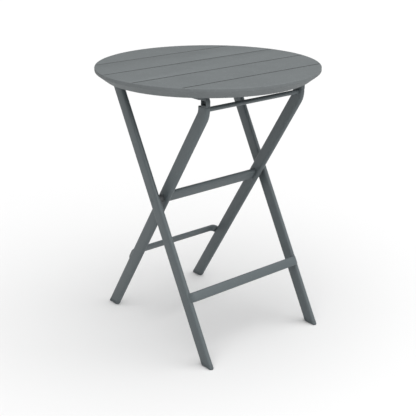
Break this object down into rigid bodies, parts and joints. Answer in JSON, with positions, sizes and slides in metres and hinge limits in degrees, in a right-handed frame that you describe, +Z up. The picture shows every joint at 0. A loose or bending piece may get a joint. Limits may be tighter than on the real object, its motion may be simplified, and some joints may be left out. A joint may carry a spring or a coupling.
{
  "type": "bistro table",
  "caption": "Round folding bistro table with a grooved top on crossed flat-oval tube frames that close flat like scissors while the top tilts.",
  "frame": {"origin": "on the floor under the centre of the top", "axes": "+Z up, +X to the right along the planks and the cross bars, the outer frame's feet towards -Y"},
  "size_m": [0.6, 0.6, 0.741],
  "materials": {
    "top_resin": "fine matt moulded texture, anthracite grey",
    "frame_paint": "satin-matt powder coat, anthracite grey",
    "fitting_plastic": "matt moulded plastic, anthracite grey",
    "foot_plastic": "matt moulded plastic, dark grey",
    "plated_steel": "zinc plated",
    "nylon": "matt nylon, dark grey"
  },
  "bodies": {
    "inner_frame": {"inner_leg_left": "frame_paint", "inner_leg_right": "frame_paint", "inner_foot_left": "foot_plastic", "inner_foot_right": "foot_plastic", "hinge_knuckle_left": "fitting_plastic", "hinge_knuckle_right": "fitting_plastic", "upper_bar": "frame_paint", "mid_bar": "frame_paint", "rear_bar": "frame_paint", "pivot_anchor_left": "plated_steel", "pivot_anchor_right": "plated_steel", "pivot_bolt_left": "frame_paint", "pivot_bolt_right": "frame_paint", "pivot_spacer_left": "nylon", "pivot_spacer_right": "nylon"},
    "outer_frame": {"outer_leg_left": "frame_paint", "outer_leg_right": "frame_paint", "outer_foot_left": "foot_plastic", "outer_foot_right": "foot_plastic", "outer_cap_left": "fitting_plastic", "outer_cap_right": "fitting_plastic", "front_rung": "frame_paint", "top_crossbar": "frame_paint", "pivot_bush_left": "nylon", "pivot_bush_right": "nylon"},
    "table_top": {"top_panel": "top_resin", "rail_left": "frame_paint", "rail_right": "frame_paint", "rail_cap_front_left": "fitting_plastic", "rail_cap_front_right": "fitting_plastic", "rail_cap_rear_left": "fitting_plastic", "rail_cap_rear_right": "fitting_plastic", "catch_left": "fitting_plastic", "catch_right": "fitting_plastic", "hinge_bolt_left": "plated_steel", "hinge_bolt_right": "plated_steel", "hinge_washer_left": "nylon", "hinge_washer_right": "nylon", "hinge_nut_left": "plated_steel", "hinge_nut_right": "plated_steel", "rail_screw_left_1": "plated_steel", "rail_screw_left_2": "plated_steel", "rail_screw_left_3": "plated_steel", "catch_screw_left_1": "plated_steel", "catch_screw_left_2": "plated_steel", "rail_screw_right_1": "plated_steel", "rail_screw_right_2": "plated_steel", "rail_screw_right_3": "plated_steel", "catch_screw_right_1": "plated_steel", "catch_screw_right_2": "plated_steel"}
  },
  "joints": [
    {"name": "leg_fold", "type": "hinge", "parent": "inner_frame", "child": "outer_frame", "pos_m": [0, -0.01363, 0.40757], "axis": [1, 0, 0], "range_deg": [0, 56]},
    {"name": "top_tilt", "type": "hinge", "parent": "inner_frame", "child": "table_top", "pos_m": [0, -0.176, 0.7163], "axis": [1, 0, 0], "range_deg": [0, 33]}
  ],
  "couplings": [
    {"joint": "top_tilt", "follows": "leg_fold", "ratio": 0.58}
  ]
}
